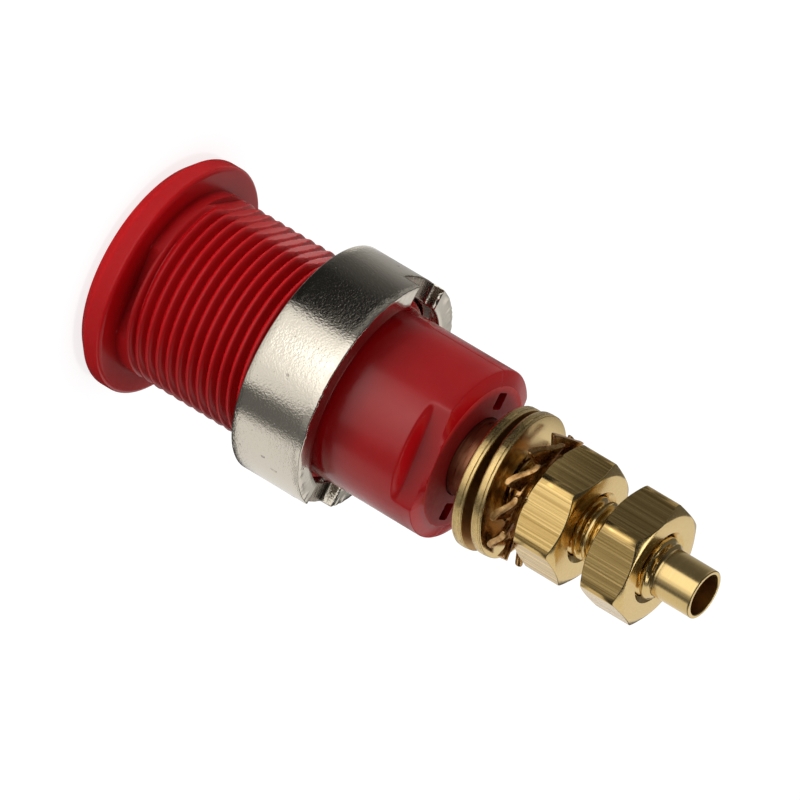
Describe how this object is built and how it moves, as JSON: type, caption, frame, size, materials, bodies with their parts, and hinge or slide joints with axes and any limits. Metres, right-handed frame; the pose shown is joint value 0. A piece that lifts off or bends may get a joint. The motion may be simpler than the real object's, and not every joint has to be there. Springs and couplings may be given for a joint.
{
  "type": "banana socket",
  "caption": "Panel-mount insulated socket for shrouded 4 mm plugs, with threaded barrel, slotted round nut, gold-plated stud with washers, hexagon nuts and solder cup.",
  "frame": {"origin": "centre of the flange's front face, on which the socket stands", "axes": "+Z along the socket's axis from the front face to the solder cup, -Y towards one wrench flat"},
  "size_m": [0.015, 0.015, 0.0404],
  "materials": {
    "red_plastic": "satin red polyamide",
    "nickel": "nickel plate with a fine grain",
    "gold_plate": "gold plate on turned brass",
    "bronze": "copper-coloured spring bronze"
  },
  "bodies": {
    "socket": {"housing": "red_plastic", "contact": "gold_plate", "inner_washer": "gold_plate", "outer_washer": "gold_plate", "lock_washer": "bronze"},
    "ring_nut": {"ring_nut": "nickel"},
    "clamp_nut": {"clamp_nut": "gold_plate"},
    "lock_nut": {"lock_nut": "gold_plate"}
  },
  "joints": [
    {"name": "ring_nut_travel", "type": "slide", "parent": "socket", "child": "ring_nut", "axis": [0, 0, 1], "range_m": [-0.0086, 0.003]},
    {"name": "clamp_nut_travel", "type": "slide", "parent": "socket", "child": "clamp_nut", "axis": [0, 0, 1], "range_m": [0, 0.00075]},
    {"name": "lock_nut_travel", "type": "slide", "parent": "socket", "child": "lock_nut", "axis": [0, 0, 1], "range_m": [-0.00075, 0.003]}
  ]
}
